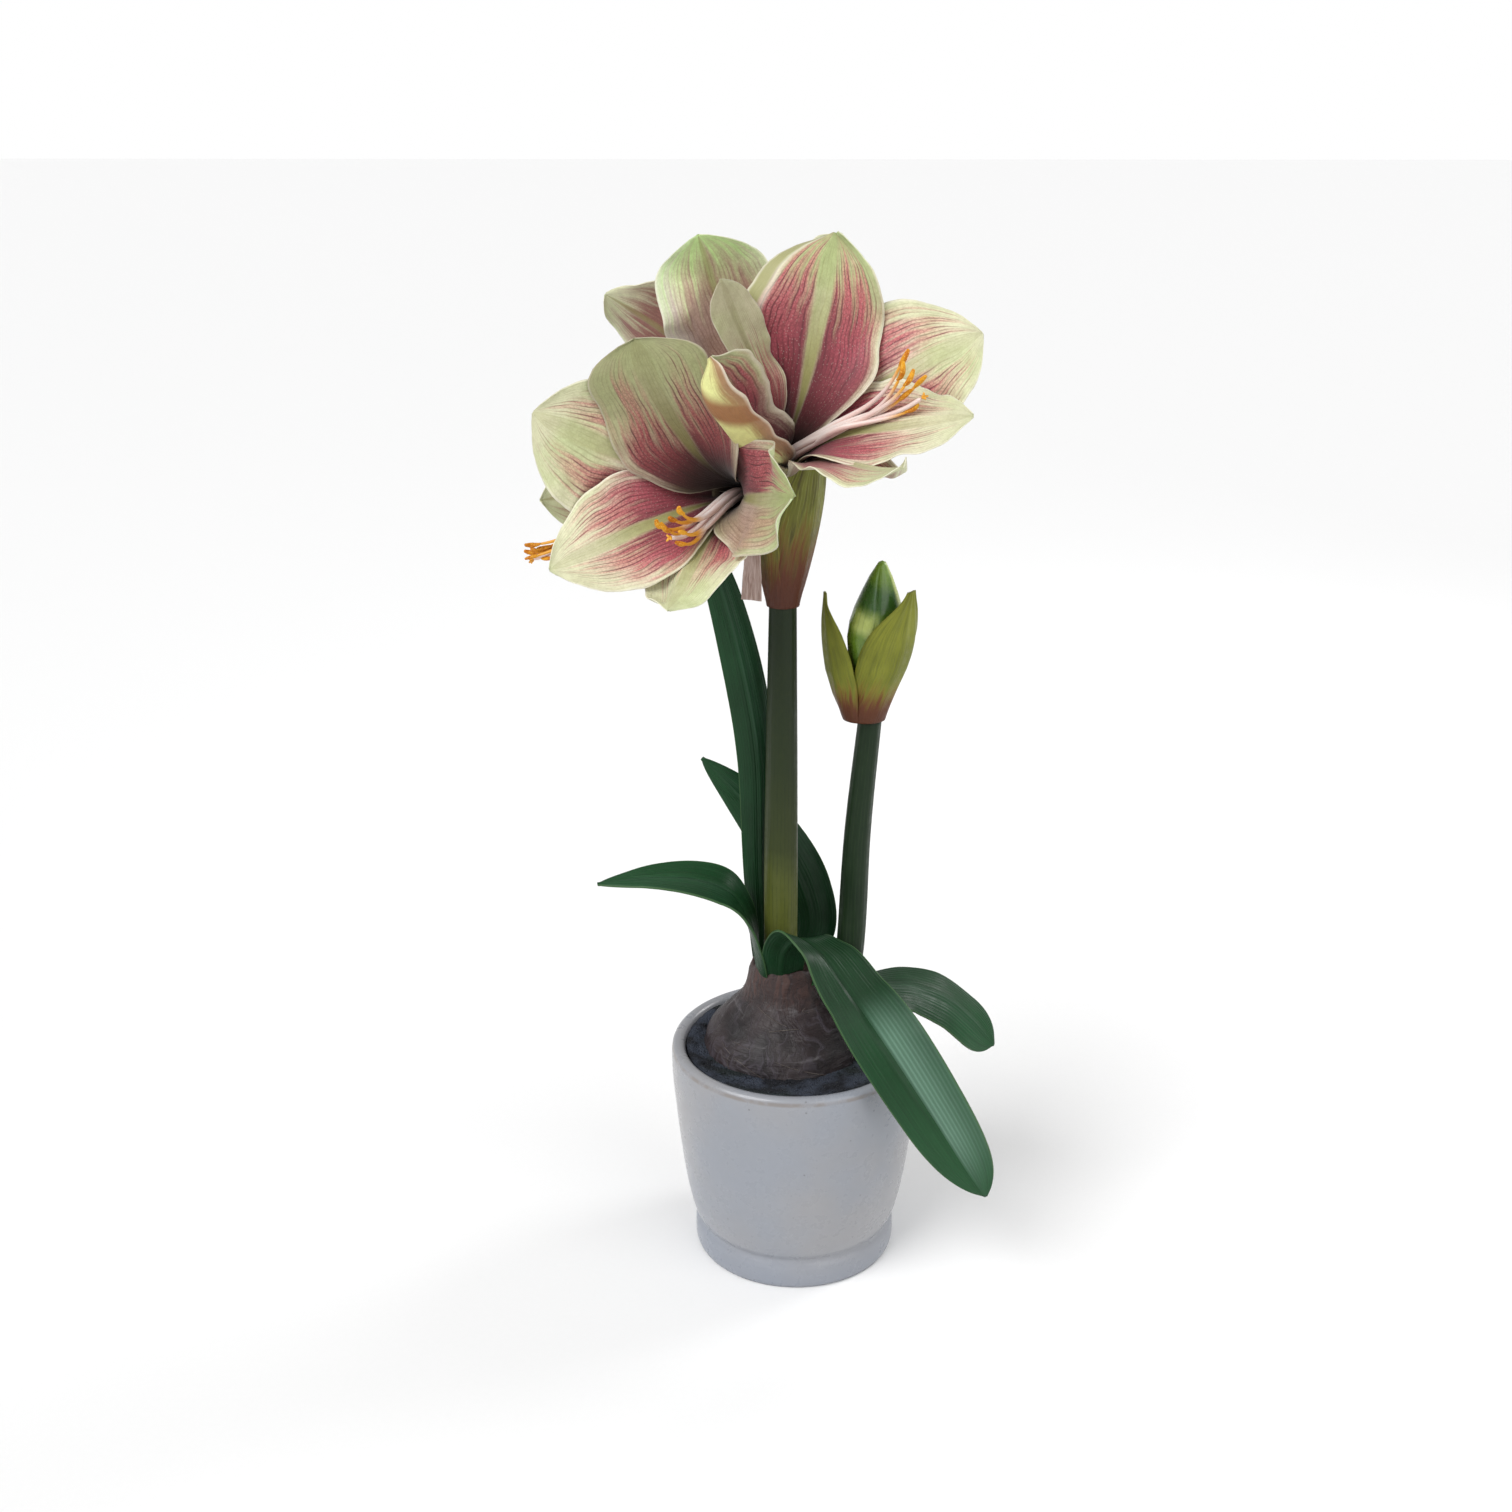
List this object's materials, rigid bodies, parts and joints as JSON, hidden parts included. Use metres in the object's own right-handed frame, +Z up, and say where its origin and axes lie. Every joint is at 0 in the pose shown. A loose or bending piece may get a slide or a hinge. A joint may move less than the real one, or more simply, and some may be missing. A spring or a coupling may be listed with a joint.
{
  "type": "potted amaryllis",
  "caption": "Potted amaryllis: a bulb in a rounded glazed pot on a foot ring, with arching strap leaves, a tall stem of open trumpet flowers and a shorter stem in closed bud.",
  "frame": {"origin": "middle of the pot's underside, on the surface it stands on", "axes": "+Z up, +X to the right as the two largest flowers are seen, -Y towards the side that the front leaf droops over"},
  "size_m": [0.2563, 0.2173, 0.5479],
  "materials": {
    "pot_glaze": "satin",
    "potting_soil": "matte",
    "bulb_skin": "satin",
    "stem_green": "satin",
    "leaf_green": "satin",
    "petal": "satin",
    "filament": "satin",
    "anther": "matte",
    "spathe": "satin",
    "bud_bract": "satin",
    "withered_bract": "matte",
    "bud_green": "gloss"
  },
  "bodies": {
    "root": {"pot": "pot_glaze", "soil": "potting_soil", "bulb": "bulb_skin", "flower_stem": "stem_green", "bud_stem": "stem_green", "leaf_tall": "leaf_green", "leaf_back": "leaf_green", "leaf_left": "leaf_green", "leaf_front": "leaf_green", "leaf_right": "leaf_green", "bloom_right": "petal", "stamens_right": "filament", "bloom_left": "petal", "stamens_left": "filament", "bloom_back_right": "petal", "stamens_back_right": "filament", "bloom_back_left": "petal", "stamens_back_left": "filament", "spathe_valve_right": "spathe", "spathe_valve_left": "spathe", "bud_bract_right": "bud_bract", "bud_bract_left": "bud_bract", "withered_bract": "withered_bract", "bud": "bud_green"}
  },
  "joints": []
}
